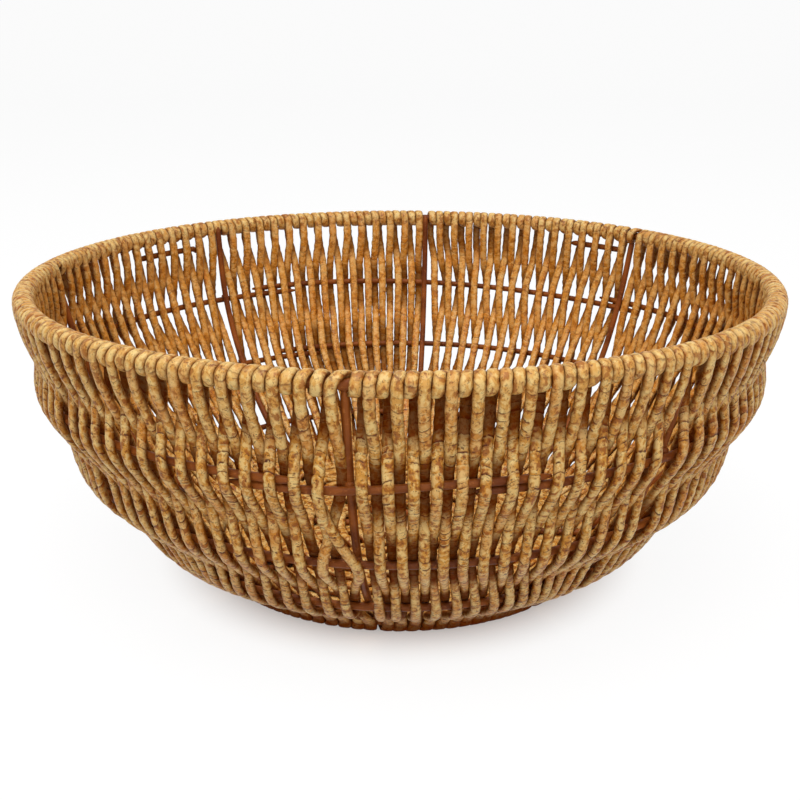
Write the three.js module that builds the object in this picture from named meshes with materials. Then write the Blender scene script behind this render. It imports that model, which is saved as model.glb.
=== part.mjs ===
// An open woven fruit bowl: one long flat cord wound up and down over a frame of coated wire.
// Millimetres, +Z up. The bowl stands on the cord's turns under its base ring, at height 0.
// Azimuths are in degrees, from the front (-Y) towards the right (+X).

import * as THREE from 'three';

// The wire frame
const rimRadius = 136;
const rimWire = 3.4;
const frameWire = 2.6;
const weldGap = 0.3;
const hubRadius = 12;

// The ribs stand where they were welded by hand, a degree or so off even eighths
const ribAzimuths = [-6.2, 37.7, 83.8, 129.1, 174.5, 220, 264.3, 308.8];
const ribTurn = 5.2;
const ribTurnRise = 4.2;

// The hoops and the base ring: how far inside the rim's radius and how far below its centre their
// wire runs, and where the ends of a hoop's wire lie side by side
const upperHoop = { inset: 4.5, drop: 31.7, laps: [-17, 14, 130, 208] };
const middleHoop = { inset: 16.9, drop: 61.1, laps: [205] };
const lowerHoop = { inset: 38.8, drop: 87.9, laps: [25] };
const baseRing = { inset: 61.2, drop: 105.5 };
const lapLength = 22;

// The cord and its weave
const cordWidth = 3.2;
const cordThickness = 1.8;
const seatGap = 0.25;
const strandGap = 0.35;
const hoopSlack = 0.25;
const strandPairs = 14;
const ribToLeft = 1.25;
const ribToRight = 1.45;

// The corners of a turn round the rim: the angle round the wire, from its outside (0) over the top
// (90), the bend there, and how far the cord has leaned along the rim. Lengths along the rim are
// counted in the pitch of the strands.
const overRim = [
  { angle: 150, bend: 60, along: 0.17 },
  { angle: 90, bend: 60, along: 0 },
  { angle: 30, bend: 60, along: -0.17 },
];
const underRim = [
  { angle: -45, bend: 90, along: -0.25 },
  { angle: -135, bend: 90, along: -0.85 },
];
const outsideRim = -0.2;
const leanOverRib = 1.2;

// The corners of the half turn under the base ring: the share of the way from one strand to the
// next, and the place beside the wire's centre, counted in the reach of the turn
const underBase = [
  { share: 0.1, outwards: 0.6, upwards: -1 },
  { share: 0.9, outwards: -1, upwards: -1 },
  { share: 1, outwards: -1.13, upwards: 0.65 },
];

// Facets
const stepsRound = 56;
const wireSides = 5;
const rimSides = 6;
const ribSteps = 16;
const hubSteps = 16;

// Worked out from the sizes above
const degree = Math.PI / 180;
const baseHeight = cordThickness + seatGap + frameWire / 2;
const rimHeight = baseHeight + baseRing.drop;
const pitchesPerBay = 2 * strandPairs - 1 + ribToLeft + ribToRight;
const wrapReach = rimWire / 2 + seatGap + cordThickness / 2;
const turnReach = frameWire / 2 + seatGap + cordThickness / 2;
const hoopReach = turnReach + hoopSlack;
const ribReach = frameWire + weldGap;
const floorHeight = baseHeight + ribReach * Math.SQRT1_2;

// The profile that the wires follow from the rim to the base, as radius and height
const profile = [{ inset: 0, drop: 0 }, upperHoop, middleHoop, lowerHoop, baseRing].map(
  ({ inset, drop }) => ({ radius: rimRadius - inset, height: rimHeight - drop }),
);
const baseRadius = rimRadius - baseRing.inset;

const coatedWire = new THREE.MeshStandardMaterial({ color: 0x6e3322, roughness: 0.45, metalness: 0.2 });
const wovenCord = new THREE.MeshStandardMaterial({ color: 0xc29552, roughness: 0.6, metalness: 0 });

const basket = new THREE.Group();

function addPiece(name, geometry, material) {
  const mesh = new THREE.Mesh(geometry, material);
  mesh.name = name;
  basket.add(mesh);
  return mesh;
}

function place(azimuth, radius, height) {
  const angle = azimuth * degree;
  return new THREE.Vector3(radius * Math.sin(angle), -radius * Math.cos(angle), height);
}

function alongRim(azimuth) {
  return new THREE.Vector3(Math.cos(azimuth * degree), Math.sin(azimuth * degree), 0);
}

function outwards(azimuth) {
  return new THREE.Vector3(Math.sin(azimuth * degree), -Math.cos(azimuth * degree), 0);
}

// The direction square to the wall, out of the bowl, at one point of the profile
function wallNormal(index) {
  const above = profile[Math.max(index - 1, 0)];
  const here = profile[index];
  const below = profile[Math.min(index + 1, profile.length - 1)];
  const first = new THREE.Vector2(above.height - here.height, here.radius - above.radius).normalize();
  const second = new THREE.Vector2(here.height - below.height, below.radius - here.radius).normalize();
  return first.add(second).normalize();
}

function offWall(index, distance) {
  const normal = wallNormal(index);
  const { radius, height } = profile[index];
  return { radius: radius + distance * normal.x, height: height + distance * normal.y };
}

// Wire

function wireSection(diameter, sides) {
  const corners = [];
  for (let i = 0; i < sides; i++) {
    const angle = (2 * Math.PI * i) / sides;
    corners.push(new THREE.Vector2(Math.cos(angle), Math.sin(angle)).multiplyScalar(diameter / 2));
  }
  return new THREE.Shape(corners);
}

function bentWire(curve, steps) {
  return new THREE.ExtrudeGeometry(wireSection(frameWire, wireSides), { extrudePath: curve, steps });
}

function closedRing(radius, height, diameter, sides, steps) {
  return new THREE.TorusGeometry(radius, diameter / 2, sides, steps).translate(0, 0, height);
}

// A hoop's wire climbs the wall by its own thickness between its two laps, so that its ends lie
// one above the other where they are welded
class HoopArc extends THREE.Curve {
  constructor(index, from, to, lap) {
    super();
    Object.assign(this, { index, from, to, lap });
  }

  getPoint(t) {
    const azimuth = this.from + (this.to - this.from) * t;
    const climbed = THREE.MathUtils.smoothstep(azimuth, this.from + this.lap, this.to - this.lap);
    const climb = (frameWire + weldGap) * (climbed - 0.5);
    const normal = wallNormal(this.index);
    const { radius, height } = profile[this.index];
    return place(azimuth, radius - climb * normal.y, height + climb * normal.x);
  }
}

function addHoop(name, index, { laps }) {
  const lap = lapLength / profile[index].radius / degree;
  laps.forEach((start, i) => {
    const end = i + 1 < laps.length ? laps[i + 1] : laps[0] + 360;
    const arc = new HoopArc(index, start - lap / 2, end + lap / 2, lap);
    const steps = Math.round((stepsRound * (arc.to - arc.from)) / 360);
    addPiece(laps.length > 1 ? `${name}_${i + 1}` : name, bentWire(arc, steps), coatedWire);
  });
}

// A rib runs from under the rim down inside the hoops, over the base ring and in to the hub
function addRib(number, azimuth) {
  const route = [place(azimuth, rimRadius, rimHeight - rimWire / 2 - weldGap)];
  for (const index of [1, 2, 3]) {
    const seat = offWall(index, -ribReach);
    route.push(place(azimuth, seat.radius, seat.height));
  }
  const overBase = baseRadius - ribReach * Math.SQRT1_2;
  route.push(place(azimuth, overBase + ribTurn, floorHeight + ribTurnRise));
  route.push(place(azimuth, overBase, floorHeight + weldGap));
  route.push(place(azimuth, overBase - ribTurn, floorHeight));
  route.push(place(azimuth, (overBase + hubRadius) / 2, floorHeight));
  route.push(place(azimuth, hubRadius + frameWire / 2 + weldGap, floorHeight));
  const curve = new THREE.CatmullRomCurve3(route, false, 'centripetal');
  addPiece(`rib_${number}`, bentWire(curve, ribSteps), coatedWire);
}

// Cord

// Joins three-cornered sections into one closed strand. A station has its centre, the direction
// across the cord, the direction out of its flat face and its width.
function strand(stations) {
  const positions = [];
  const half = cordThickness / 2;
  const corners = stations.map(({ centre, across, out, width }) => [
    centre.clone().addScaledVector(across, width / 2).addScaledVector(out, half),
    centre.clone().addScaledVector(across, -width / 2).addScaledVector(out, half),
    centre.clone().addScaledVector(out, -half),
  ]);
  const face = (...points) => points.forEach((point) => positions.push(...point.toArray()));
  for (let i = 0; i + 1 < corners.length; i++) {
    for (let side = 0; side < 3; side++) {
      const next = (side + 1) % 3;
      face(corners[i][side], corners[i][next], corners[i + 1][next]);
      face(corners[i][side], corners[i + 1][next], corners[i + 1][side]);
    }
  }
  const last = corners[corners.length - 1];
  face(corners[0][0], corners[0][2], corners[0][1]);
  face(last[0], last[1], last[2]);
  const geometry = new THREE.BufferGeometry();
  geometry.setAttribute('position', new THREE.Float32BufferAttribute(positions, 3));
  geometry.computeVertexNormals();
  return geometry;
}

// Turns a route of azimuths, radii and heights into stations, mitred at each corner. Where the bowl
// narrows, the strands are drawn in so that neighbours stay clear.
function mitredStations(route, pitch) {
  const side = (from, to) => {
    return new THREE.Vector2(from.height - to.height, to.radius - from.radius).normalize();
  };
  return route.map((point, i) => {
    const before = i > 0 ? side(route[i - 1], point) : side(point, route[i + 1]);
    const after = i + 1 < route.length ? side(point, route[i + 1]) : before;
    const middle = before.clone().add(after).normalize();
    middle.divideScalar(middle.dot(before));
    const out = outwards(point.azimuth).multiplyScalar(middle.x).setZ(middle.y);
    const centre = place(point.azimuth, point.radius, point.height);
    const width = Math.min(cordWidth, pitch * degree * point.radius - strandGap);
    return { centre, across: alongRim(point.azimuth), out, width };
  });
}

// One corner of a turn round the rim
function rimCorner(azimuth, { angle, bend }) {
  const reach = wrapReach / Math.cos((bend / 2) * degree);
  return {
    azimuth,
    radius: rimRadius + reach * Math.cos(angle * degree),
    height: rimHeight + reach * Math.sin(angle * degree),
  };
}

// The cord's first turn round the rim, up from inside, over and back under the wire
function firstTurn(azimuth, pitch) {
  return [...overRim, ...underRim].map((corner) => {
    return rimCorner(azimuth + pitch * corner.along, corner);
  });
}

// The cord's last pass over the rim, from inside to outside, one pitch further on, before it goes
// down. Over a rib it leans further.
function lastPass(azimuth, pitch, lean) {
  const leant = (angle) => lean * (1 - angle / overRim[0].angle);
  const shifted = (angle, along) => azimuth + pitch * (along - 1 - leant(angle));
  return [
    ...overRim.map((corner) => rimCorner(shifted(corner.angle, corner.along), corner)),
    {
      azimuth: shifted(0, outsideRim),
      radius: rimRadius + wrapReach,
      height: rimHeight - cordThickness / 2,
    },
  ];
}

// One strand between the rim and the base: it passes the hoops on alternate sides
function wallRun(azimuth, firstSide) {
  return [1, 2, 3].map((index) => {
    const outside = index % 2 === 1 ? firstSide : -firstSide;
    return { azimuth, ...offWall(index, outside * hoopReach) };
  });
}

// The half turn under the base ring, flat where it stands, from one strand to the next
function baseTurn(from, to) {
  return underBase.map(({ share, outwards: across, upwards }) => ({
    azimuth: from + (to - from) * share,
    radius: baseRadius + across * turnReach,
    height: baseHeight + upwards * turnReach,
  }));
}

function ribAzimuth(count) {
  return ribAzimuths[count % ribAzimuths.length] + 360 * Math.floor(count / ribAzimuths.length);
}

// The cord of one bay between two ribs, as one unbroken route. It comes over the next rib from
// the bay on its right, and ends inside the rim beside its own rib, where the next bay's begins.
function addBay(count) {
  const pitchOf = (bay) => (ribAzimuth(bay + 1) - ribAzimuth(bay)) / pitchesPerBay;
  const firstStrand = (bay) => ribAzimuth(bay) + pitchOf(bay) * ribToRight;
  const pitch = pitchOf(count);
  const innerEnd = (azimuth, offset) => ({
    azimuth,
    radius: rimRadius - wrapReach,
    height: rimHeight + offset,
  });
  const tucked = underRim[underRim.length - 1].along;
  const nextPitch = pitchOf(count + 1);
  const nextBay = firstStrand(count + 1);
  const route = [
    innerEnd(nextBay + nextPitch * tucked, weldGap / 2),
    ...lastPass(nextBay, nextPitch, leanOverRib),
  ];
  for (let pair = strandPairs - 1; pair >= 0; pair--) {
    const up = firstStrand(count) + pitch * 2 * pair;
    const down = up + pitch;
    route.push(...wallRun(down, -1), ...baseTurn(down, up), ...wallRun(up, 1).reverse());
    route.push(...firstTurn(up, pitch));
    if (pair > 0) {
      route.push(...lastPass(up, pitch, 0));
    }
  }
  route.push(innerEnd(firstStrand(count) + pitch * tucked, -weldGap / 2));
  addPiece(`weave_bay_${count + 1}`, strand(mitredStations(route, pitch)), wovenCord);
}

// The floor is one cord wound in a flat spiral, over and under the ribs
function addFloorCord() {
  const turnInside = -underBase[underBase.length - 1].outwards * turnReach + cordThickness;
  const outer = baseRadius - turnInside - cordWidth / 2 - strandGap;
  const inner = hubRadius + frameWire / 2 + cordWidth / 2 + weldGap;
  const crossings = Math.floor((outer - inner) / (cordWidth + strandGap)) * ribAzimuths.length;
  const steps = 2 * crossings;
  const stations = [];
  for (let step = 0; step <= steps; step++) {
    const crossing = Math.floor(step / 2);
    const nextRib = ribAzimuth(crossing + 1);
    const atRib = step % 2 === 1;
    const azimuth = atRib ? nextRib : (ribAzimuth(crossing) + nextRib) / 2;
    const radius = inner + ((outer - inner) * step) / steps;
    const turn = Math.floor(crossing / ribAzimuths.length);
    const overOrUnder = (crossing + turn) % 2 === 0 ? 1 : -1;
    stations.push({
      centre: place(azimuth, radius, floorHeight + (atRib ? overOrUnder * hoopReach : 0)),
      across: outwards(azimuth).negate(),
      out: new THREE.Vector3(0, 0, 1),
      width: cordWidth,
    });
  }
  addPiece('floor_cord', strand(stations), wovenCord);
}

addPiece('rim_wire', closedRing(rimRadius, rimHeight, rimWire, rimSides, stepsRound), coatedWire);
addHoop('upper_hoop', 1, upperHoop);
addHoop('middle_hoop', 2, middleHoop);
addHoop('lower_hoop', 3, lowerHoop);
addPiece('base_ring', closedRing(baseRadius, baseHeight, frameWire, wireSides, stepsRound), coatedWire);
addPiece('hub_ring', closedRing(hubRadius, floorHeight, frameWire, wireSides, hubSteps), coatedWire);
ribAzimuths.forEach((azimuth, count) => {
  addRib(count + 1, azimuth);
  addBay(count);
});
addFloorCord();

export default basket;
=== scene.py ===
# A woven fruit bowl: plastic cord wound over a frame of coated wire, on a pale studio floor.
# Sizes are in millimetres and turned into metres where a mesh is made. Azimuths are in degrees,
# from the front (-Y) towards the right (+X).
import math
import random

import bmesh
import bpy
import numpy as np
from mathutils import Matrix, Vector


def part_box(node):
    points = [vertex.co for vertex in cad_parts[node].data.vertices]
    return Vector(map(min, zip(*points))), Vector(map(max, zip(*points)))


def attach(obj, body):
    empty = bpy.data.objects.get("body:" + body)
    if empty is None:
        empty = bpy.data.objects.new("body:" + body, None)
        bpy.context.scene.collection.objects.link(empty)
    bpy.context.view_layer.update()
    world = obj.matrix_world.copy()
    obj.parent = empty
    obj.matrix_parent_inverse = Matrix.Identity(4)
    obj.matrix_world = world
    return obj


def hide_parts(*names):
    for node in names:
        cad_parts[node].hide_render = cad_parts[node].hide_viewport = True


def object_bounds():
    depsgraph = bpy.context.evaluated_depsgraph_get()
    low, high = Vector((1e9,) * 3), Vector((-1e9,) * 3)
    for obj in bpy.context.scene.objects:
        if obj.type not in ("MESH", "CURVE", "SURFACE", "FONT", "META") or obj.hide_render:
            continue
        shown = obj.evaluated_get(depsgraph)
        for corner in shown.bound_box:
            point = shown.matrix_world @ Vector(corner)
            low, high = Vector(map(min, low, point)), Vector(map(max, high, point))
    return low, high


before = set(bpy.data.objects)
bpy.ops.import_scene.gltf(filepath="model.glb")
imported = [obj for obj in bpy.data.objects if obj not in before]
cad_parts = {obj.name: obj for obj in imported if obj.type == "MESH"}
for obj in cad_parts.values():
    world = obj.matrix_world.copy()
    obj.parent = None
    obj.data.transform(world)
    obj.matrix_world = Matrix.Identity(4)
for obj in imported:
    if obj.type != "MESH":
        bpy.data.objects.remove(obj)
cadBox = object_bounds()
mm = 0.001


# The camera and the studio

camera = {
    "lens": 49.5,
    "sensor": 36,
    "distance": 410.7,     # from the bowl's axis
    "height": 196.7,
    "lookDown": 18.53,
}

studio = {
    "floorSize": 6.0,      # metres
    "wallHeight": 3.0,
    "sweepRadius": 1.2,
    "floorColour": (0.6, 0.6, 0.6, 1),
    "paintedBounceColour": (0.75, 0.45, 0.2, 1),    # painted warm bounce light on the floor under the bowl, which only shows through the weave
    "paintedBounceReach": (0.075, 0.11),            # metres from the axis where that colour ends
    "floorGlow": 0.82,     # share of plain white that the camera sees on the floor
    "glowStrength": 1.12,
    "shadowReach": (0.055, 0.1),            # metres from the axis where that white sets in
    "ambient": 0.41,
    "keyPower": 13.6,
    "keySize": 1.3,
    "keyPlace": (-0.1, -0.4, 1.25),
    "fillPower": 5.8,
    "fillSize": 1.2,
    "fillPlace": (0.2, -1.4, 0.15),
}


def makeCamera():
    data = bpy.data.cameras.new("camera")
    data.lens = camera["lens"]
    data.sensor_width = camera["sensor"]
    eye = bpy.data.objects.new("camera", data)
    eye.location = (0, -camera["distance"] * mm, camera["height"] * mm)
    eye.rotation_euler = (math.radians(90 - camera["lookDown"]), 0, 0)
    bpy.context.scene.collection.objects.link(eye)
    bpy.context.scene.camera = eye


def makeLamp(name, power, size, place):
    data = bpy.data.lights.new(name, "AREA")
    data.energy = power
    data.shape = "DISK"
    data.size = size
    lamp = bpy.data.objects.new(name, data)
    lamp.location = place
    aim = Vector((0, 0, cadBox[1].z / 2)) - lamp.location
    lamp.rotation_euler = aim.to_track_quat("-Z", "Y").to_euler()
    bpy.context.scene.collection.objects.link(lamp)


# Shader sums written as Python sums

class Port:
    def __init__(self, shader, socket):
        self.shader = shader
        self.socket = socket

    def math(self, operation, *others):
        sockets = dict(enumerate((self, *others)))
        return self.shader.node("ShaderNodeMath", "Value", sockets, operation=operation)

    def __add__(self, other):
        return self.math("ADD", other)

    __radd__ = __add__

    def __mul__(self, other):
        return self.math("MULTIPLY", other)

    __rmul__ = __mul__

    def __sub__(self, other):
        return self.math("SUBTRACT", other)

    def __rsub__(self, other):
        return self.shader.node("ShaderNodeMath", "Value", {0: other, 1: self}, operation="SUBTRACT")


class Shader:
    def __init__(self, owner):
        owner.use_nodes = True
        self.tree = owner.node_tree
        self.tree.nodes.clear()

    def node(self, kind, output, sockets=None, **settings):
        node = self.tree.nodes.new(kind)
        for key, value in settings.items():
            setattr(node, key, value)
        for key, value in (sockets or {}).items():
            if isinstance(value, Port):
                self.tree.links.new(value.socket, node.inputs[key])
            else:
                node.inputs[key].default_value = value
        return Port(self, node.outputs[output]) if output is not None else node

    def step(self, value, low, high):     # 0 below low, 1 above high
        sockets = {"Value": value, "From Min": low, "From Max": high}
        return self.node("ShaderNodeMapRange", "Result", sockets, interpolation_type="SMOOTHSTEP")

    def blend(self, share, first, second):
        sockets = {0: share, 6: first, 7: second}
        return self.node("ShaderNodeMix", 2, sockets, data_type="RGBA")

    def noise(self, place, scale, detail=2.0, **sockets):
        sockets.update({"Vector": place, "Scale": scale, "Detail": detail})
        return self.node("ShaderNodeTexNoise", "Fac", sockets)


def colour(red, green, blue):             # as seen on a screen, 0 to 255
    scaled = [c / 255 for c in (red, green, blue)]
    return (*(c / 12.92 if c < 0.04045 else ((c + 0.055) / 1.055) ** 2.4 for c in scaled), 1)


# 1 where the background is seen, in gloss and through clear things too, and 0 where it lights
def seenShare(shader):
    rays = ("Is Camera Ray", "Is Glossy Ray", "Is Transmission Ray")
    seen, glossy, clear = [shader.node("ShaderNodeLightPath", ray) for ray in rays]
    return (seen + glossy + clear).math("MINIMUM", 1.0)


# The background stays white where it is seen, and lights the bowl at a plain level
def makeWorld():
    world = bpy.data.worlds.new("studioAir")
    bpy.context.scene.world = world
    shader = Shader(world)
    strength = seenShare(shader) * (1 - studio["ambient"]) + studio["ambient"]
    glow = shader.node("ShaderNodeBackground", 0, {"Color": (1, 1, 1, 1), "Strength": strength})
    shader.node("ShaderNodeOutputWorld", None, {"Surface": glow})


def makeFloorMaterial():
    material = bpy.data.materials.new("paleFloor")
    shader = Shader(material)
    spot = shader.node("ShaderNodeTexCoord", "Object")
    reach = shader.node("ShaderNodeVectorMath", "Value", {0: spot}, operation="LENGTH")
    # under the bowl the floor is painted warm, standing in for light bounced off the cord
    outside = shader.step(reach, *studio["paintedBounceReach"])
    paint = shader.node("ShaderNodeBsdfPrincipled", "BSDF", {
        "Base Color": shader.blend(outside, studio["paintedBounceColour"], studio["floorColour"]),
        "Roughness": 0.9, "Specular IOR Level": 0.0,
    })
    glow = shader.node("ShaderNodeEmission", 0, {
        "Color": (1, 1, 1, 1), "Strength": studio["glowStrength"],
    })
    share = seenShare(shader) * shader.step(reach, *studio["shadowReach"]) * studio["floorGlow"]
    mixed = shader.node("ShaderNodeMixShader", 0, {0: share, 1: paint, 2: glow})
    shader.node("ShaderNodeOutputMaterial", None, {"Surface": mixed})
    return material


# A floor that sweeps up into a wall behind the bowl
def makeFloor():
    half = studio["floorSize"] / 2
    bm = bmesh.new()
    start = bm.verts.new((0, -half, 0))
    corner = bm.verts.new((0, half, 0))
    bm.edges.new((start, corner))
    spun = bmesh.ops.spin(
        bm, geom=[corner], cent=(0, half, studio["sweepRadius"]), axis=(1, 0, 0),
        angle=math.radians(90), steps=12, use_duplicate=False,
    )
    top = [v for v in spun["geom_last"] if isinstance(v, bmesh.types.BMVert)]
    raised = bmesh.ops.extrude_vert_indiv(bm, verts=top)
    bmesh.ops.translate(bm, verts=raised["verts"], vec=(0, 0, studio["wallHeight"]))
    for vert in bm.verts:
        vert.co.x = -half
    wide = bmesh.ops.extrude_edge_only(bm, edges=bm.edges[:])
    sheet = [v for v in wide["geom"] if isinstance(v, bmesh.types.BMVert)]
    bmesh.ops.translate(bm, verts=sheet, vec=(2 * half, 0, 0))
    bmesh.ops.recalc_face_normals(bm, faces=bm.faces)
    mesh = bpy.data.meshes.new("floor")
    bm.to_mesh(mesh)
    bm.free()
    mesh.materials.append(makeFloorMaterial())
    mesh.shade_smooth()
    floor = bpy.data.objects.new("floor", mesh)
    bpy.context.scene.collection.objects.link(floor)


bpy.context.scene.view_settings.view_transform = "Standard"
makeCamera()
makeWorld()
makeFloor()
makeLamp("key", studio["keyPower"], studio["keySize"], studio["keyPlace"])
makeLamp("fill", studio["fillPower"], studio["fillSize"], studio["fillPlace"])
print("studio ready")


# Finishes

coating = {
    "colour": colour(148, 80, 30),
    "deep": colour(108, 52, 18),
    "worn": colour(196, 120, 56),
    "wornShare": 0.5,
    "roughness": 0.35,
    "grainRoughness": 0.15,
    "gloss": 0.14,
    "patchScale": 90,
    "grainScale": 900,
    "grainHeight": 0.3,
    "bump": 0.00012,
    "bumpStrength": 0.6,
}


def makeCoatingMaterial():
    material = bpy.data.materials.new("coatedWire")
    shader = Shader(material)
    place = shader.node("ShaderNodeTexCoord", "Object")
    patches = shader.noise(place, coating["patchScale"], 3.0)
    grain = shader.noise(place, coating["grainScale"], 2.0)
    tone = shader.blend(shader.step(patches, 0.35, 0.65), coating["deep"], coating["colour"])
    tone = shader.blend(shader.step(grain, 0.55, 0.8) * coating["wornShare"], tone, coating["worn"])
    bump = shader.node("ShaderNodeBump", "Normal", {
        "Height": patches + grain * coating["grainHeight"],
        "Distance": coating["bump"], "Strength": coating["bumpStrength"],
    })
    paint = shader.node("ShaderNodeBsdfPrincipled", "BSDF", {
        "Base Color": tone, "Roughness": grain * coating["grainRoughness"] + coating["roughness"],
        "Specular IOR Level": coating["gloss"], "Normal": bump,
    })
    shader.node("ShaderNodeOutputMaterial", None, {"Surface": paint})
    return material


cordLook = {
    "cream": colour(238, 208, 138),
    "tan": colour(206, 142, 52),
    "brown": colour(150, 78, 8),
    "dark": colour(74, 24, 1),
    "orange": colour(200, 110, 18),
    "paintedBounce": colour(232, 148, 44),    # painted warm bounce light on the side that faces the inside of the bowl
    "paintedGapShade": colour(104, 36, 0),
    "mottleScale": 0.55,   # cells for each mm
    "grainScale": 1.6,
    "veinScale": 0.62,
    "patchScale": 0.3,
    "driftScale": 0.05,
    "creamShare": 0.6,
    "orangeShare": 0.38,
    "patchShare": 0.35,
    "rimShare": 0.18,      # of cream on the turns round the rim: partly the stretched film's paler tone, partly painted light on the top of the rim
    "paintedBounceShare": 0.44,
    "spotShare": 0.85,
    "creaseShadowShare": 0.6,      # of painted shadow, brown, just after a crease
    "lipHighlightShare": 0.5,       # of painted highlight, cream, on the lip just before one
    "veinShare": 0.75,
    # of painted shade in the creases
    "creaseShadeShare": 0.9,
    "roughness": 0.5,
    "gloss": 0.02,
    "sheen": 0.5,          # a coat on the film, left out where the shade is painted, so the gaps show little reflection
    "sheenRoughness": 0.36,
    "bump": 0.00016,
    "bumpStrength": 0.9,
    "paintedShadeShare": 0.86,         # painted shade: the film is made darker brown down in the gaps of the weave, on the cords' sides and by the foot, where shade falls
}


# The cord's film: creased across at uneven steps, with short dark lines of painted shade in the
# creases, painted highlights on their lips and painted shadow just after them, and mottled brown. The
# attribute cordPlace holds each point's place on the cord in mm, across it and along it.
# The attribute creaseCount rises by one from each crease to the next. The others are shares: how
# far a point lies on the turns round the rim, how much painted shade it takes down in the weave, and
# how much painted warm bounce light it takes on the bowl's inside.
def makeCordMaterial():
    look = cordLook
    material = bpy.data.materials.new("wovenCord")
    shader = Shader(material)
    place = shader.node("ShaderNodeAttribute", "Vector", attribute_name="cordPlace")
    creases = shader.node("ShaderNodeAttribute", "Fac", attribute_name="creaseCount")
    rim = shader.node("ShaderNodeAttribute", "Fac", attribute_name="rimShare")
    # painted shade: darker brown down in the weave, on the cords' sides and by the foot
    paintedShading = shader.node("ShaderNodeAttribute", "Fac", attribute_name="paintedShading")
    # how far a point faces the bowl's inside, where warm bounce light is painted
    inner = shader.node("ShaderNodeAttribute", "Fac", attribute_name="innerShare")
    counted = creases + (shader.noise(place, 0.8, 2.0) - 0.5) * 0.3
    number = counted.math("FLOOR")
    since = counted - number
    chance = shader.node("ShaderNodeTexWhiteNoise", "Value", {"W": number}, noise_dimensions="1D")
    strength = shader.step(chance, 0.2, 0.8) * (1 - inner * 0.75) * (1 - rim * 0.5)
    broken = shader.step(shader.noise(place, 0.62, 1.0), 0.44, 0.54) * 0.95 + 0.05
    # dark lines of painted shade in the creases
    line = (1 - shader.step(since, 0.05, 0.2)).math("MAXIMUM", shader.step(since, 0.93, 1.0))
    line = line * strength * broken
    # a painted highlight on each crease's lip, and painted shadow just after the crease
    lip = shader.step(since, 0.7, 0.92) * (1 - line) * strength
    creaseShadow = (1 - shader.step(since, 0.05, 0.4)) * strength
    blotch = shader.noise(place, look["mottleScale"], 1.5, Distortion=0.4)
    grain = shader.noise(place, look["grainScale"], 2.0, Distortion=0.5)
    mottle = blotch * 0.8 + grain * 0.2
    vein = (shader.noise(place, look["veinScale"], 2.0, Distortion=1.0) - 0.5).math("ABSOLUTE")
    veined = (1 - shader.step(vein, 0.01, 0.04)) * shader.step(grain, 0.48, 0.6)
    patches = shader.noise(place, look["patchScale"], 2.0)
    drift = shader.noise(place, look["driftScale"], 1.0)
    spotted = look["spotShare"] - rim * 0.15 - inner * 0.35
    faintVein = look["veinShare"] - inner * 0.45 - rim * 0.25
    tone = look["tan"]
    for share, shade in (             # one over the other
        (shader.step(mottle, 0.49, 0.4) * look["creamShare"], "cream"),
        (shader.step(drift, 0.5, 0.65) * look["orangeShare"], "orange"),
        (shader.step(patches, 0.44, 0.62) * look["patchShare"], "cream"),
        # paler turns round the rim: partly the stretched film, partly painted top light
        (rim * look["rimShare"], "cream"),
        # painted warm bounce light inside the bowl
        (inner * look["paintedBounceShare"], "paintedBounce"),
        (shader.step(mottle, 0.53, 0.62) * spotted, "brown"),
        # painted shadow after each crease, and painted highlight on its lip
        (creaseShadow * broken * look["creaseShadowShare"], "brown"),
        (lip * look["lipHighlightShare"], "cream"),
        (veined * faintVein, "dark"),
        # painted shade in the creases
        (line * look["creaseShadeShare"], "dark"),
        # painted shade in the gaps of the weave
        (paintedShading * (1 - inner * 0.4) * look["paintedShadeShare"], "paintedGapShade"),
    ):
        tone = shader.blend(share, tone, look[shade])
    height = since * strength * 0.6 - line * 0.8 - veined * 0.35 + mottle * 0.5
    bump = shader.node("ShaderNodeBump", "Normal", {
        "Height": height, "Distance": look["bump"], "Strength": look["bumpStrength"],
    })
    # the coat is left out where the shade is painted
    film = shader.node("ShaderNodeBsdfPrincipled", "BSDF", {
        "Base Color": tone, "Roughness": line * 0.2 + look["roughness"], "Normal": bump,
        "Specular IOR Level": look["gloss"], "Coat Weight": (1 - paintedShading) * look["sheen"],
        "Coat Roughness": look["sheenRoughness"],
    })
    shader.node("ShaderNodeOutputMaterial", None, {"Surface": film})
    return material


coatedWire = makeCoatingMaterial()
wovenCord = makeCordMaterial()
print("finishes ready")


# The wire frame

bowl = {
    "rimWire": 3.4,
    "frameWire": 2.6,
    "weldGap": 0.3,
    # the rim, the three hoops and the base ring: how far inside the rim's radius, and below it
    "insets": (0, 4.5, 16.9, 38.8, 61.2),
    "drops": (0, 31.7, 61.1, 87.9, 105.5),
    "laps": {1: (-17, 14, 130, 208), 2: (205,), 3: (25,)},    # azimuths, by hoop
    "lapLength": 22,
    "hoopStep": 1.2,              # degrees from point to point
    "hubRadius": 12,
    "ribCount": 8,
    "ribTurn": 5.2,
    "ribTurnRise": 4.2,
    "endGap": 0.1,                # between a rib's end and the wire that it meets
    "tallRibs": (4, 5),           # these end inside the rim wire, not under it
    "tallRise": 1.3,              # above its middle
    "looseEnds": ((131, 143, 7.2), (224, 239, 7.8)),   # azimuths, and how far below the rim wire
    "looseBend": (2.6, 1.2),      # how far the first points of these hang down
    "looseSteps": 24,
    "endSizes": (0.35, 0.78, 0.96),    # of the wire's first and last points, which round its ends
    "weldSize": 0.9,
    "weldShape": (1.5, 1, 1.25),
    "rimWeldInset": 0.5,
    "baseWeldShare": 0.6,         # of the way from the base ring's middle to the rib's
}
rimLow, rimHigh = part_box("rim_wire")
rimRadius = (rimHigh.x - rimLow.x) / 2 / mm - bowl["rimWire"] / 2
rimHeight = (rimHigh.z + rimLow.z) / 2 / mm
radii = [rimRadius - inset for inset in bowl["insets"]]
heights = [rimHeight - drop for drop in bowl["drops"]]
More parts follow.
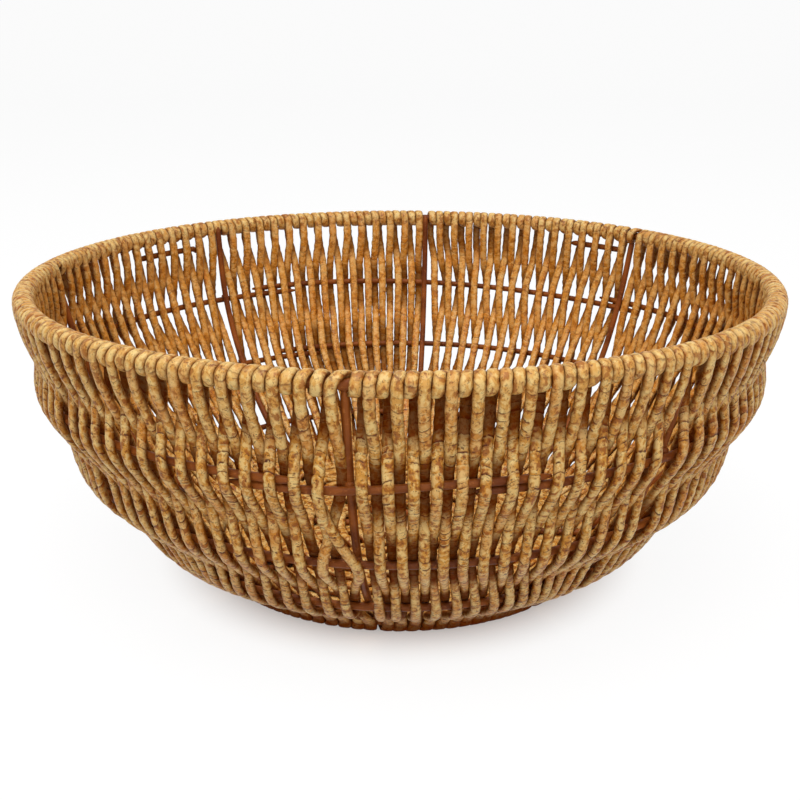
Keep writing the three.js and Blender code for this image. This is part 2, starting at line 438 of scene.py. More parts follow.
wireRadius = bowl["frameWire"] / 2
ribReach = bowl["frameWire"] + bowl["weldGap"]
floorHeight = heights[4] + ribReach * math.sqrt(0.5)
upperSlope = (radii[0] - radii[1]) / (heights[0] - heights[1])


def place(azimuth, radius, height):
    angle = math.radians(azimuth)
    return Vector((radius * math.sin(angle), -radius * math.cos(angle), height)) * mm


# How far the wall's outward direction rises above the level, in degrees: it leans down, so below 0
def wallAngle(level):
    above, below = max(level - 1, 0), min(level + 1, 4)
    return -math.degrees(math.atan2(radii[above] - radii[below], heights[above] - heights[below]))


def offWall(level, distance):        # the radius and the height at a distance off the wall
    angle = math.radians(wallAngle(level))
    return radii[level] + distance * math.cos(angle), heights[level] + distance * math.sin(angle)


def ribAzimuth(count):               # read from the top end of the rib's own node
    points = [v.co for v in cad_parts[f"rib_{count + 1}"].data.vertices]
    top = max(p.z for p in points)
    end = [p for p in points if p.z > top - 0.5 * mm]
    x, y = sum(p.x for p in end), sum(p.y for p in end)
    return math.degrees(math.atan2(x, -y)) % 360


ribAzimuths = [ribAzimuth(count) for count in range(bowl["ribCount"])]
ribAzimuths[0] -= 360                # the first stands a little left of the front


def finishPiece(mesh, material, slot, *nodes):
    mesh.materials.append(material)
    mesh.shade_smooth()
    piece = bpy.data.objects.new(mesh.name, mesh)
    bpy.context.scene.collection.objects.link(piece)
    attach(piece, "root")
    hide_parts(*nodes)
    return piece


def bentWire(name, points, radius, closed=False):
    curve = bpy.data.curves.new(name, "CURVE")
    curve.dimensions = "3D"
    curve.bevel_depth = radius * mm
    curve.bevel_resolution = 4
    curve.use_fill_caps = True
    spline = curve.splines.new("POLY")
    spline.points.add(len(points) - 1)
    for point, co in zip(spline.points, points):
        point.co = (*co, 1)
    spline.use_cyclic_u = closed
    if not closed:
        for i, share in enumerate(bowl["endSizes"]):
            spline.points[i].radius = share
            spline.points[-1 - i].radius = share
    shape = bpy.data.objects.new(name, curve)
    bpy.context.scene.collection.objects.link(shape)
    mesh = bpy.data.meshes.new_from_object(shape)
    mesh.name = name
    bpy.data.objects.remove(shape)
    bpy.data.curves.remove(curve)
    return mesh


def smoothPoints(points, spacing):   # a curve through the points, at an even spacing
    route = np.array([tuple(p) for p in points])
    return [Vector(p) for p in throughKnots(route, route, spacing)]


# A centripetal curve through rows of values, stepped by the distance between their places
def throughKnots(rows, places, spacing):
    rows = np.vstack([2 * rows[0] - rows[1], rows, 2 * rows[-1] - rows[-2]])
    places = np.vstack([2 * places[0] - places[1], places, 2 * places[-1] - places[-2]])
    gaps = np.linalg.norm(np.diff(places, axis=0), axis=1)
    times = np.concatenate([[0], np.cumsum(np.sqrt(gaps))])
    pieces = []
    for i in range(1, len(rows) - 2):
        t0, t1, t2, t3 = times[i - 1:i + 3]
        steps = max(1, round(gaps[i] / spacing))
        t = np.linspace(t1, t2, steps, endpoint=False)[:, None]
        a1 = (t1 - t) / (t1 - t0) * rows[i - 1] + (t - t0) / (t1 - t0) * rows[i]
        a2 = (t2 - t) / (t2 - t1) * rows[i] + (t - t1) / (t2 - t1) * rows[i + 1]
        a3 = (t3 - t) / (t3 - t2) * rows[i + 1] + (t - t2) / (t3 - t2) * rows[i + 2]
        b1 = (t2 - t) / (t2 - t0) * a1 + (t - t0) / (t2 - t0) * a2
        b2 = (t3 - t) / (t3 - t1) * a2 + (t - t1) / (t3 - t1) * a3
        pieces.append((t2 - t) / (t2 - t1) * b1 + (t - t1) / (t2 - t1) * b2)
    return np.vstack([*pieces, rows[-2]])


def ringPoints(radius, height, steps):
    return [place(360 * i / steps, radius, height) for i in range(steps)]


# Two short loose lengths of wire, below the rim wire at the rear and part of its mesh
def addLooseEnds(mesh):
    steps = bowl["looseSteps"]
    bm = bmesh.new()
    bm.from_mesh(mesh)
    for start, end, drop in bowl["looseEnds"]:
        inward = drop * upperSlope
        azimuths = [start + (end - start) * i / steps for i in range(steps + 1)]
        points = [place(azimuth, rimRadius - inward, rimHeight - drop) for azimuth in azimuths]
        for point, bend in zip(points, bowl["looseBend"]):
            point.z -= bend * mm
        length = bentWire("loose_end", points, wireRadius)
        bm.from_mesh(length)
        bpy.data.meshes.remove(length)
    bm.to_mesh(mesh)
    bm.free()


def addRings():
    coats = (
        ("rim_wire", rimRadius, rimHeight, bowl["rimWire"] / 2, 360),
        ("base_ring", radii[4], heights[4], wireRadius, 240),
        ("hub_ring", bowl["hubRadius"], floorHeight, wireRadius, 64),
    )
    for node, radius, height, thick, steps in coats:
        mesh = bentWire(f"{node}_coated", ringPoints(radius, height, steps), thick, closed=True)
        if node == "rim_wire":
            addLooseEnds(mesh)
        finishPiece(mesh, coatedWire, "coated_wire", node)


# A hoop climbs the wall by its own thickness between its laps, so that its ends lie side by side
def hoopPoints(level, start, end, lap):
    points = []
    steps = round((end - start) / bowl["hoopStep"])
    angle = math.radians(wallAngle(level))
    for i in range(steps + 1):
        azimuth = start + (end - start) * i / steps
        share = min(max((azimuth - start - lap) / (end - start - 2 * lap), 0), 1)
        climb = ribReach * (share * share * (3 - 2 * share) - 0.5)
        radius = radii[level] - climb * math.sin(angle)
        points.append(place(azimuth, radius, heights[level] + climb * math.cos(angle)))
    return points


def addHoops():
    for level, name in ((1, "upper_hoop"), (2, "middle_hoop"), (3, "lower_hoop")):
        laps = bowl["laps"][level]
        lap = math.degrees(bowl["lapLength"] / radii[level])
        for i, start in enumerate(laps):
            end = laps[i + 1] if i + 1 < len(laps) else laps[0] + 360
            node = f"{name}_{i + 1}" if len(laps) > 1 else name
            points = hoopPoints(level, start - lap / 2, end + lap / 2, lap)
            mesh = bentWire(f"{node}_coated", points, wireRadius)
            finishPiece(mesh, coatedWire, "coated_wire", node)


# A rib with a small weld where it meets the rim, each hoop and the base ring
def addRib(count):
    azimuth = ribAzimuths[count]
    overBase = radii[4] - ribReach * math.sqrt(0.5)
    turn = bowl["ribTurn"]
    rimHalf = bowl["rimWire"] / 2
    top = place(azimuth, rimRadius, rimHeight - rimHalf - bowl["endGap"])
    if count in bowl["tallRibs"]:
        top = place(azimuth, rimRadius - rimHalf - wireRadius, rimHeight + bowl["tallRise"])
    route = [top] + [place(azimuth, *offWall(level, -ribReach)) for level in (1, 2, 3)]
    route += [
        place(azimuth, overBase + turn, floorHeight + bowl["ribTurnRise"]),
        place(azimuth, overBase, floorHeight + bowl["weldGap"]),
        place(azimuth, overBase - turn, floorHeight),
        place(azimuth, (overBase + bowl["hubRadius"]) / 2, floorHeight),
        place(azimuth, bowl["hubRadius"] + wireRadius + bowl["endGap"], floorHeight),
    ]
    mesh = bentWire(f"rib_{count + 1}_coated", smoothPoints(route, 1.0 * mm), wireRadius)
    bm = bmesh.new()
    bm.from_mesh(mesh)
    welds = [place(azimuth, *offWall(level, -ribReach / 2)) for level in (1, 2, 3)]
    welds.append(place(azimuth, rimRadius - bowl["rimWeldInset"], rimHeight - rimHalf))
    welds.append(place(azimuth, *offWall(4, -ribReach * bowl["baseWeldShare"])))
    welds.append(route[-1])
    turned = Matrix.Rotation(math.radians(azimuth), 4, "Z")
    bead = Matrix.Diagonal((*(bowl["weldSize"] * mm * share for share in bowl["weldShape"]), 1))
    for spot in welds:
        shape = Matrix.Translation(spot) @ turned @ bead
        bmesh.ops.create_icosphere(bm, subdivisions=3, radius=1.0, matrix=shape)
    bm.to_mesh(mesh)
    bm.free()
    finishPiece(mesh, coatedWire, "coated_wire", f"rib_{count + 1}")


addRings()
addHoops()
for count in range(bowl["ribCount"]):
    addRib(count)
print("wire frame ready")


# The woven cord

weave = {
    "seed": 11,
    "pairs": 14,
    "ribToLeft": 1.25,            # in strand pitches
    "ribToRight": 1.45,
    "width": 3.45,
    "widthReach": 1.08,           # of that width at most, where the strands lie further apart
    "thickness": 2.25,
    "thickest": 1.25,             # of that thickness at most, where the strands are squeezed
    "rimThickness": 1.95,
    "baseWidth": 4.6,
    "baseThickness": 1.8,
    "rimSeat": 0.1,               # air between the cord and the wire
    "hoopSeat": 0.05,
    "rimRoom": 0.985,             # share of its pitch that a turn round the rim takes up
    "gapRoom": 1.02,              # and that a strand takes up at most between the wires
    "turnReach": 2.45,
    "spacing": 0.6,
    "sides": 12,
    "lump": 0.032,                # share of the cord's size
    "lip": 0.05,
    "notch": 0.08,
    "squareness": 0.06,
    "endRings": 3,                # over which a cord's end is rounded
    "lookShift": 17.0,            # from one cord's noise to the next one's
    "creaseShift": 50,
    "sway": 0.06,                 # strand pitches by which a strand strays at a hoop
    "turnStart": 0.2,             # strand pitches from a strand inside the rim to where it turns
    "turnStep": 1.2,              # and on to the next strand outside it
    "pastRib": 0.7,               # strand pitches beyond a rib, where the next bay is mirrored
    "legDrop": 8.0,               # below the rim wire, where a strand's leg leaves it
    "legTuck": 0.35,              # by which it lies closer to the wire there
}

# Two bays at the back are wound the other way round: up, round the rim and on to the right
mirrored = (3, 4)

# The factors by which the cord is wider in some bays
fuller = {1: 1.2, 2: 1.14, 4: 1.06, 5: 1.14, 6: 1.2}

# How far the strands that pass outside the rim lie beyond the even spacing, against those inside
# it, in strand pitches, at the first strand of a bay, at its middle beyond that, and at the last:
# for the rim and the upper two hoops, by bay
pairing = {
    0: {"usual": (-0.4, 0, -0.4), 3: (-0.2, 0.0, 0.42), 4: (0.45, 0.25, 0.5), 5: (0.0, -0.2, -0.4)},
    1: {3: (0.06, 0.1, 0.5), 4: (0.0, 0.0, -0.1)},
    2: {3: (-0.3, -0.1, -0.7), 4: (-0.3, -0.2, 0.2)},
}

# How far round the rim wire the cord has turned (180 inside the rim, 90 on it, 0 outside it, -90
# below it, and so on), and how far it has leaned along the rim by then, in strand pitches
turnAngles = [180, 150, 90, 30, 0, -45, -90, -135, -180, -210, -270, -330, -360]
turnLeans = [0.2, 0.17, 0, -0.17, -0.2, -0.25, -0.45, -0.76, -0.84, -0.85, -1.0, -1.17, -1.2]
freeFrom, freeSpan = -210, 150    # from there on, the lean can differ, to end on the strand's leg

# The angles at which the cord turns round the rim: in a bay, and over the rib beyond it, where it
# may pass one more time before it comes over and runs on to its first strand
turnSteps = range(180, -361, -30)
moreSteps = (-190, -225, -265, -305)
overSteps = (10, -30, -75, -115, -155)
onwardSteps = (-190, -215, -240, -270, -300, -330, -360)

# The cord's way round the base ring: the share of its way to the next strand, and the angle
baseCorners = ((0.0, 5), (0.05, -30), (0.3, -75), (0.7, -110), (0.95, -150), (1.0, -195))

# The weaver's drift, in strand pitches: at the first strand of a bay, at its middle beyond that,
# and at the last. The levels are the rim, the three hoops and the base ring.
drifts = {
    0: ((-0.33, -0.16, 0.3), (-0.2, -0.15, -0.2), (0.0, -0.35, 0.1), (0.2, 2.5, 0.2), (-0.3, 1.6, 0.1)),
    1: ((-0.45, 0.0, 0.3), (-0.5, 0.2, 0.4), (-0.3, -0.4, 0.3), (0.0, 1.2, 0.1), (0.0, 0.6, 0.0)),
    2: ((-0.45, 0.1, 0.3), (-0.5, -0.2, 0.2), (-0.3, 0.4, -0.1), (0.0, -1.0, 0.1), (0.0, -0.5, 0.0)),
    3: ((-0.6, 0.0, 0.45), (0.0, 0.4, -0.5), (0.1, -0.3, -0.4), (0.0, 0.6, 0.0), (0.0, 0.3, 0.0)),
    4: ((-0.4, 0.0, 0.35), (-0.6, 0.3, 0.1), (-0.5, 0.5, 0.0), (-0.1, -0.6, 0.0), (0.1, -0.4, 0.0)),
    5: ((-0.45, 0.0, 0.3), (-0.2, 0.2, 0.5), (0.0, -0.3, 0.6), (0.2, 0.8, 0.2), (0.0, 0.4, 0.0)),
    6: ((-0.45, 0.1, -0.2), (-0.75, -0.2, 0.2), (-0.55, 0.3, 0.0), (-0.1, -0.8, 0.0), (0.0, -0.4, 0.0)),
    7: ((-0.95, 0.3, 0.38), (-0.3, 0.1, 0.0), (0.0, 0.0, 0.1), (0.0, -2.7, 0.0), (0.0, -1.8, 0.4)),
}

# Single strands that stray further, by bay and strand: pitches at the rim and the three hoops, and
# how far each stands off the wall halfway to the next level, in mm
strays = {
    (7, 25): ((0, 0.1, 3.45, 1.7), (0, 2.9, 0, -2.2)),
    (7, 26): ((0.2, 0, 0, 0), (0, -1.6, 0, 1.6)),
    (7, 27): ((0.18, 0.6, -1.95, -1.7), (0, 0.4, 0, 0)),
}
noStray = ((0, 0, 0, 0), (0, 0, 0, 0))


# The knots that a cord's curve passes. Each holds its azimuth, radius and height, the angle of the
# cord's outer side (0 outward, 90 up, counted on over the turns), its width and thickness, and the
# share of the rim's look. The value even is the strand's azimuth at the even spacing.
class Route:
    def __init__(self):
        self.knots = []
        self.even = 0.0

    def add(self, azimuth, radius, height, facing, width, thickness, rimShare=0.0):
        self.knots.append((azimuth, radius, height, facing, width, thickness, rimShare))

    # On to the next knots, with one more halfway at the even spacing, where the strands on both
    # sides share a gap
    def follow(self, knots, evens, pitch, width, lifts):
        for knot, even, lift in zip(knots, evens, lifts):
            middle = [(a + b) / 2 for a, b in zip(self.knots[-1], knot)]
            middle[0] = (self.even + even) / 2
            room = math.radians(pitch) * middle[1] * weave["gapRoom"]
            middle[1] += lift * math.cos(math.radians(middle[3]))
            middle[2] += lift * math.sin(math.radians(middle[3]))
            middle[4] = min(width, room)
            middle[5] = weave["thickness"] * min(width / middle[4], weave["thickest"])
            self.knots += [tuple(middle), knot]
            self.even = even


def rimTurn(route, azimuth, pitch, angles, facing, lean=0.0):
    reach = bowl["rimWire"] / 2 + weave["rimThickness"] / 2 + weave["rimSeat"]
    for angle in angles:
        along = float(np.interp(-angle, [-a for a in turnAngles], turnLeans))
        along -= lean * max(0, (freeFrom - angle) / freeSpan)
        radius = rimRadius + reach * math.cos(math.radians(angle))
        height = rimHeight + reach * math.sin(math.radians(angle))
        route.add(
            azimuth + pitch * along, radius, height, facing - 360 + angle,
            math.radians(abs(pitch)) * (rimRadius + reach) * weave["rimRoom"],
            weave["rimThickness"], 1.0,
        )


def wallKnots(azimuths, firstSide, facing, width):
    knots = []
    for level in (1, 2, 3):
        side = firstSide if level % 2 else -firstSide
        reach = wireRadius + weave["thickness"] / 2 + weave["hoopSeat"]
        radius, height = offWall(level, side * reach)
        turned = facing + wallAngle(level)
        knots.append((azimuths[level], radius, height, turned, width, weave["thickness"], 0.0))
    return knots


# Just under the rim, outside it (side 1) or inside it (side -1)
def underRim(azimuth, side, facing, width):
    reach = bowl["rimWire"] / 2 + weave["thickness"] / 2 + weave["rimSeat"] - weave["legTuck"]
    drop = weave["legDrop"]
    return (
        azimuth, rimRadius - upperSlope * drop + side * reach, rimHeight - drop,
        facing, width, weave["thickness"], 0.5 if side > 0 else 0.0,
    )


def baseTurn(start, end, facing):
    knots = []
    for share, angle in baseCorners:
        radius = radii[4] + weave["turnReach"] * math.cos(math.radians(angle))
        height = heights[4] + weave["turnReach"] * math.sin(math.radians(angle))
        height = max(height, weave["baseThickness"] / 2)
        knots.append((
            start + (end - start) * share, radius, height, facing + angle,
            weave["baseWidth"], weave["baseThickness"], 0.0,
        ))
    return knots


def acrossBay(ends, share):          # first, middle and last value, at a share of the bay
    first, middle, last = ends
    return first + (last - first) * share + middle * (1 - math.cos(2 * math.pi * share)) / 2


# A bay's strands: their azimuths at each level, rim, hoops and base ring, evenly spaced ("even")
# and as they pass the wires ("legs")
class Bay:
    def __init__(self, count):
        rng = random.Random(weave["seed"] + count)
        self.count = count
        self.first = ribAzimuths[count]
        self.last = ribAzimuths[(count + 1) % 8] + (360 if count == 7 else 0)
        total = weave["pairs"] * 2
        pitches = total - 1 + weave["ribToLeft"] + weave["ribToRight"]
        self.pitch = (self.last - self.first) / pitches
        widest = min(weave["width"] * weave["widthReach"], math.radians(self.pitch) * radii[1])
        self.width = max(weave["width"], widest) * fuller.get(count, 1)
        self.even, self.legs = [], []
        for strand in range(total):
            share = strand / (total - 1)
            stray = (*strays.get((count, strand), noStray)[0], 0)
            even, legs = [], []
            for level, ends in enumerate(drifts[count]):
                moved = acrossBay(ends, share) + stray[level]
                moved += rng.gauss(0, weave["sway"]) if level in (1, 2, 3) else 0
                even.append(self.first + self.pitch * (weave["ribToRight"] + strand + moved))
                legs.append(even[-1] + self.pitch * self.apart(level, share) * (strand % 2 - 0.5))
            self.even.append(even)
            self.legs.append(legs)

    def apart(self, level, share):
        ends = pairing.get(level, {})
        return acrossBay(ends.get(self.count, ends.get("usual", (0, 0, 0))), share)

    def lifts(self, strand):
        return strays.get((self.count, strand), noStray)[1]

    # down outside the rim, in between the hoops, as far as the base ring
    def down(self, route, strand, facing):
        legs, even = self.legs[strand], self.even[strand]
        route.knots.append(underRim(legs[0], 1, facing, self.width))
        route.even = even[0]
        knots = [*wallKnots(legs, -1, facing, self.width), baseTurn(even[4], even[4], facing)[0]]
        route.follow(knots, even[1:], self.pitch, self.width, self.lifts(strand))

    def up(self, route, strand, facing):
        legs, even = self.legs[strand], self.even[strand]
        route.even = even[4]
        knots = wallKnots(legs, 1, facing - 180, self.width)[::-1]
        knots.append(underRim(legs[0], -1, facing - 180, self.width))
        route.follow(knots, even[3::-1], self.pitch, self.width, self.lifts(strand)[::-1])

    # one and a half turns round the rim, from a strand inside it to the next one outside it
    def turn(self, route, inside, outside, facing, angles=None):
        step = self.pitch if self.count not in mirrored else -self.pitch
        start = self.legs[inside][0] - weave["turnStart"] * step
        lean = 0.0
        if outside is not None:
            lean = (start - self.legs[outside][0]) / step - weave["turnStep"]
        rimTurn(route, start, step, angles or turnSteps, facing, lean)


# The cord of one bay between two ribs, as one unbroken route: it comes over the next rib with a
# turn more round the rim, and ends inside the rim beside its own rib
def bayRoute(count):
    bay, after = Bay(count), Bay((count + 1) % 8)
    route = Route()
    facing = 720.0
    start = after.legs[0][0] - weave["turnStart"] * after.pitch + (360 if count == 7 else 0)
    if after.count in mirrored:
        start = bay.last + weave["pastRib"] * after.pitch
    elif count != 7:                 # no more turn over the first rib, where the rim wire shows
        rimTurn(route, start, after.pitch, moreSteps, facing + 360)
        start -= after.pitch
    if count != 7:
        rimTurn(route, start, after.pitch, overSteps, facing)
    lean = (start - bay.legs[-1][0]) / after.pitch - weave["turnStep"]
    rimTurn(route, start, after.pitch, onwardSteps, facing, lean)
    for strand in range(weave["pairs"] * 2 - 2, -1, -2):
        facing -= 720
        bay.down(route, strand + 1, facing)
        route.knots += baseTurn(bay.even[strand + 1][4], bay.even[strand][4], facing)[1:]
        bay.up(route, strand, facing)
        if strand:
            bay.turn(route, strand, strand - 1, facing)
        else:
            end = -400 if count - 1 in mirrored else -172
            bay.turn(route, 0, None, facing, (*range(180, -151, -30), *range(-175, end - 1, -30)))
    return route.knots


# The other way round: from the base up inside the rim, and down again outside it
def mirroredRoute(count):
    bay = Bay(count)
    route = Route()
    facing = 0.0
    total = weave["pairs"] * 2
    start = bay.even[0][4]
    route.knots += baseTurn(start - 0.5 * bay.pitch, start, facing)[3:]
    for strand in range(0, total, 2):
        bay.up(route, strand, facing)
        bay.turn(route, strand, strand + 1, facing)
        facing -= 720
        bay.down(route, strand + 1, facing)
        here = bay.even[strand + 1][4]
        last = strand + 2 == total
        there = here + 0.5 * bay.pitch if last else bay.even[strand + 2][4]
        route.knots += baseTurn(here, there, facing)[1:4 if last else None]
    return route.knots


# Places, directions and sizes along the cord, one row for each ring of its mesh
def cordRings(knots, spacing):
    rows = np.array(knots)
    angles = np.radians(rows[:, 0])
    flat = np.stack([rows[:, 1] * np.sin(angles), -rows[:, 1] * np.cos(angles), rows[:, 2]], 1)
    rows = throughKnots(rows, flat, spacing)
    azimuth, radius, height, facing, width, thickness, rimShare = rows.T
    azimuth, facing = np.radians(azimuth), np.radians(facing)
    outward = np.stack([np.sin(azimuth), -np.cos(azimuth), 0 * azimuth], 1)
    centres = outward * radius[:, None]
    centres[:, 2] = height
    onward = np.gradient(centres, axis=0)
    onward /= np.linalg.norm(onward, axis=1)[:, None]
    out = outward * np.cos(facing)[:, None]
    out[:, 2] = np.sin(facing)
    out -= onward * np.sum(out * onward, 1)[:, None]
    out /= np.linalg.norm(out, axis=1)[:, None]
    lengths = np.concatenate([[0], np.cumsum(np.linalg.norm(np.diff(centres, axis=0), axis=1))])
    return {
        "centres": centres, "out": out, "across": np.cross(out, onward), "lengths": lengths,
        "width": width, "thickness": thickness, "rimShare": rimShare,
    }


folds = {                         # in mm along the cord
    "waves": (11.0, 7.3, 5.1, 3.9, 3.1),    # of the swellings
    "apart": (1.6, 4.6),
    "clusters": 0.12,                       # share of the creases that start a tight cluster
    "clusterApart": (0.8, 1.3),
    "clusterSize": (2, 4),
    "bow": 1.0,                             # how far a crease on the wall dips on one side
    "skew": 0.5,
    "grooveWidth": 0.42,
}


# The creases across the film, counted along the cord, and the swellings between them
def crumple(rings, turn, rng):
    lengths = rings["lengths"][:, None]
    swell = np.zeros((len(lengths), len(turn)))
    for wave in folds["waves"]:
        lobes = rng.choice((0, 1, 1, 2))
        slow = np.sin(lengths / (wave * 2.7) + rng.uniform(0, 6))
        swell += np.sin(2 * math.pi * lengths / wave + lobes * turn + rng.uniform(0, 6) + 1.5 * slow)
    swell *= weave["lump"] / math.sqrt(len(folds["waves"]) / 2)
    places, depths = [0.0], [1.0]
    while places[-1] < lengths[-1] + 2:
        if rng.random() < folds["clusters"]:
            tight = rng.randint(*folds["clusterSize"])
            steps = [rng.uniform(*folds["clusterApart"]) for i in range(tight)]
        else:
            steps = [rng.uniform(*folds["apart"])]
        for step in steps:
            places.append(places[-1] + step)
            depths.append(rng.uniform(0.25, 1.0))
    rising = np.gradient(rings["centres"][:, 2]) / np.gradient(rings["lengths"])
    bowed = lengths + folds["bow"] * rising[:, None] * np.sin(turn)
    bowed = bowed + folds["skew"] * np.cos(turn - lengths / 13)
    count = np.interp(bowed, places, np.arange(len(places)))
    since = count - np.floor(count)
    whole = count.astype(int)
    span = np.diff(places)[whole]
    depth = np.where(since < 0.5, np.array(depths)[whole], np.array(depths)[whole + 1])
    near = np.minimum(since, 1 - since) * span / folds["grooveWidth"]
    groove = weave["notch"] * depth * np.exp(-near * near)
    return 1 + swell + weave["lip"] * depth * (since - 0.5) - groove, count


# How the painted shade down in the weave is spread, and where the painted bounce light inside the bowl
# begins
hollows = {
    "wallCosine": 0.88,           # turns a distance level with the floor into one off the wall
    "face": 1.1,                  # from a cord's middle to its face
    "offWall": 1.4,               # where a strand's back lies full in the hollow
    "behind": 1.3,
    "rimFade": (1.6, 0.6),
    "sides": (1.25, 1.5),
    "sideDepth": 0.95,
    "wallSideDepth": 0.2,         # by which it is less in the wall
    "footWidth": 8,
    "footHeight": 6,
    "footFade": 3,
    "innerStart": 15,             # height from which the inside takes on its painted warm bounce light
    "innerFade": 45,
}


# Two shares for each point: how much painted shade it takes down in the weave, which is on a cord's
# sides, on the side that faces the other strands and by the foot, and how far it faces the inside of
# the bowl higher up, where warm bounce light is painted
def paintedShading(points, rings, turn):
    def offWallBy(spots):
        across = np.linalg.norm(spots[..., :2], axis=-1)
        wall = np.interp(spots[..., 2], heights[::-1], radii[::-1])
        return (across - wall) * hollows["wallCosine"]
    centre = offWallBy(rings["centres"])[:, None]
    facing = (offWallBy(points) - centre) / hollows["face"]
    slope, offset = hollows["rimFade"]
    inWall = 1 - np.clip(rings["rimShare"][:, None] * slope - offset, 0, 1)
    passing = np.clip(centre / hollows["offWall"], -1, 1)
    behind = np.clip(-passing * facing * hollows["behind"], 0, 1) * inWall
    most, fall = hollows["sides"]
    sides = np.clip(most - np.abs(np.sin(turn)) * fall, 0, 1)
    sides = sides * (hollows["sideDepth"] - hollows["wallSideDepth"] * inWall)
    atFoot = np.linalg.norm(points[..., :2], axis=-1) > radii[4] - hollows["footWidth"]
    low = np.clip((hollows["footHeight"] - points[..., 2]) / hollows["footFade"], 0, 1) * atFoot
    deep = np.clip(behind + sides + low, 0, 1)
    high = np.clip((points[..., 2] - hollows["innerStart"]) / hollows["innerFade"], 0, 1)
    return deep, np.clip(-facing, 0, 1) * inWall * high


def keep(mesh, name, kind, field, values):
    layer = mesh.attributes.new(name, kind, "POINT")
    layer.data.foreach_set(field, values.astype(np.float32).ravel())


# A sheet rolled up along the cord's rings, with its seam merged and its ends rounded
def rollCord(name, rings, rng, shift):
    sides = weave["sides"]
    count = len(rings["centres"])
    bm = bmesh.new()
    bmesh.ops.create_grid(bm, x_segments=sides, y_segments=count - 1, size=1)
    mesh = bpy.data.meshes.new(name)
    bm.to_mesh(mesh)
    bm.free()
    turn = np.arange(sides + 1) % sides * (2 * math.pi / sides)
    size, creases = crumple(rings, turn, rng)
    fromEnd = np.minimum(np.arange(count), np.arange(count)[::-1]) / weave["endRings"]
    size *= np.sqrt(1 - (1 - np.minimum(fromEnd, 1)) ** 2)[:, None]
    wide = rings["width"][:, None] / 2 * size * np.cos(turn)
    thick = rings["thickness"][:, None] / 2 * size * np.sin(turn)
    squared = 1 + weave["squareness"] * np.abs(np.sin(2 * turn))
    wide, thick = wide * squared, thick * squared
    points = (
        rings["centres"][:, None, :] + wide[..., None] * rings["across"][:, None, :]
        + thick[..., None] * rings["out"][:, None, :]
    )
    mesh.vertices.foreach_set("co", (points * mm).astype(np.float32).ravel())
    length = np.broadcast_to(rings["lengths"][:, None], wide.shape)
    spots = np.stack([wide + shift, thick, length], -1)
    keep(mesh, "cordPlace", "FLOAT_VECTOR", "vector", spots)
    keep(mesh, "creaseCount", "FLOAT", "value", creases + weave["creaseShift"] * shift)
    keep(mesh, "rimShare", "FLOAT", "value", np.repeat(rings["rimShare"], sides + 1))
    # the painted shade, and the share of painted bounce light inside the bowl
    deep, inner = paintedShading(points, rings, turn)
    keep(mesh, "paintedShading", "FLOAT", "value", deep)
    keep(mesh, "innerShare", "FLOAT", "value", inner)
    layStrips(mesh, count, sides, rings["lengths"][-1])
    bm = bmesh.new()
    bm.from_mesh(mesh)
    bmesh.ops.remove_doubles(bm, verts=bm.verts, dist=1e-7)
    bm.to_mesh(mesh)
    bm.free()
    return mesh


# The map of the cord's surface: its length folded into rows, with a margin between them
def layStrips(mesh, count, sides, length):
    around, margin = 9.0, 0.04       # mm round the cord, and a share of a row
    rows = max(1, round(math.sqrt(length / around)))
    inRow = math.ceil((count - 1) / rows)
    corners = np.zeros(len(mesh.loops), np.int32)
    mesh.loops.foreach_get("vertex_index", corners)
    ring, side = corners // (sides + 1), corners % (sides + 1)
    row = ring.reshape(-1, 4).min(1).repeat(4) // inRow
    across = margin + (1 - 2 * margin) * side / sides
    spots = np.stack([(ring - row * inRow) / inRow, (row + across) / rows], 1)
    mesh.uv_layers.new(name="OFBake").data.foreach_set("uv", spots.astype(np.float32).ravel())


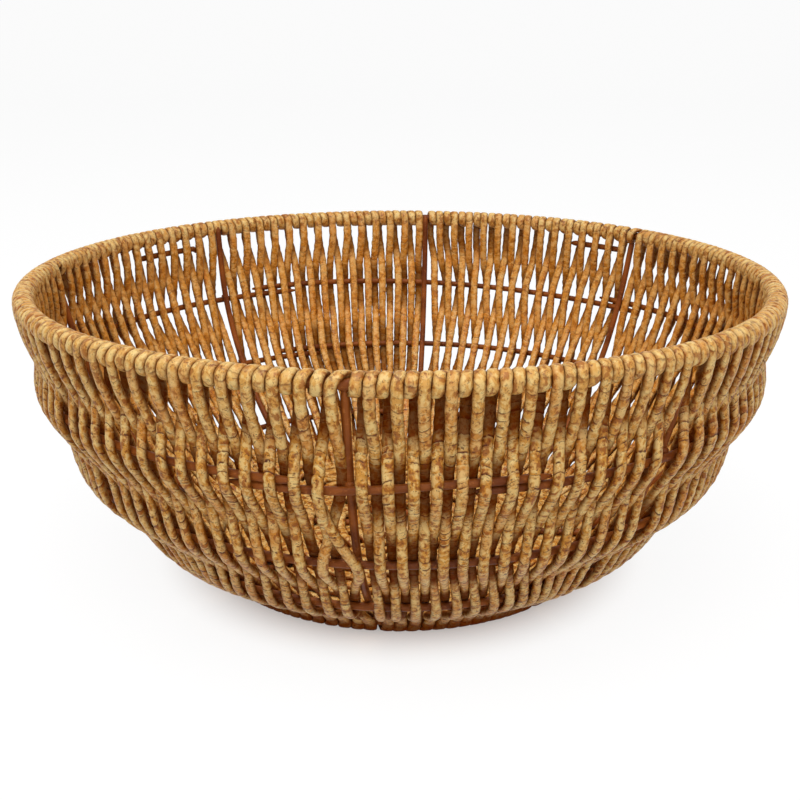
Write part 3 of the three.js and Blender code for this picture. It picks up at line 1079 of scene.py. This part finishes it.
def addBays():
    for count in range(bowl["ribCount"]):
        rng = random.Random(weave["seed"] * 100 + count)
        route = mirroredRoute(count) if count in mirrored else bayRoute(count)
        rings = cordRings(route, weave["spacing"])
        mesh = rollCord(f"weave_bay_{count + 1}_cord", rings, rng, weave["lookShift"] * (count + 1))
        finishPiece(mesh, wovenCord, "woven_cord", f"weave_bay_{count + 1}")
        if count == 0:
            print("cord in a bay", round(rings["lengths"][-1]), "mm,", len(mesh.polygons), "faces")


floorCord = {
    "width": 3.6,
    "pitch": 3.2,
    "hubSpace": 1.9,              # from the hub ring to the middle of the first turn
    "wallSpace": 4.8685,          # and from the base ring's middle to that of the last
    "seat": 0.1,
    "humps": ((-7, 0.0), (-3.5, 0.65), (0, 1.0), (3.5, 0.65), (7, 0.0)),    # from a rib, and lift
    "endCrossings": 6,            # ribs that the narrowing end passes
    "spacing": 0.9,
}


# The floor: one cord wound in a flat spiral, over and under the ribs. Its last length narrows, to
# fill the space that the spiral leaves beside the wall.
def addFloorCord():
    inner = bowl["hubRadius"] + wireRadius + floorCord["hubSpace"]
    outer = radii[4] - floorCord["wallSpace"]
    turns = math.floor((outer - inner) / floorCord["pitch"])
    lift = wireRadius + weave["thickness"] / 2 + floorCord["seat"]
    knots = []
    for crossing in range(turns * 8 + floorCord["endCrossings"]):
        rib = ribAzimuths[crossing % 8] + 360 * (crossing // 8)
        side = 1 if (crossing + crossing // 8) % 2 == 0 else -1
        beyond = max(0, crossing - turns * 8) / 8
        width = floorCord["width"] * (1 - beyond)
        thickness = weave["thickness"] * (1 - beyond / 3)
        for reach, share in floorCord["humps"]:
            radius = inner + (outer - inner) * crossing / (turns * 8)
            azimuth = rib + math.degrees(reach / max(radius, 2 * bowl["hubRadius"]))
            radius += (outer - inner) * (azimuth - rib) / 360 / turns
            radius = min(radius, outer) + (floorCord["width"] - width) / 2
            height = floorHeight + side * lift * share
            knots.append((azimuth, radius, height, 90, width, thickness, 0.0))
    rings = cordRings(knots, floorCord["spacing"])
    mesh = rollCord("floor_cord_wound", rings, random.Random(weave["seed"]), 0.0)
    finishPiece(mesh, wovenCord, "woven_cord", "floor_cord")


addBays()
addFloorCord()
print("cord ready")

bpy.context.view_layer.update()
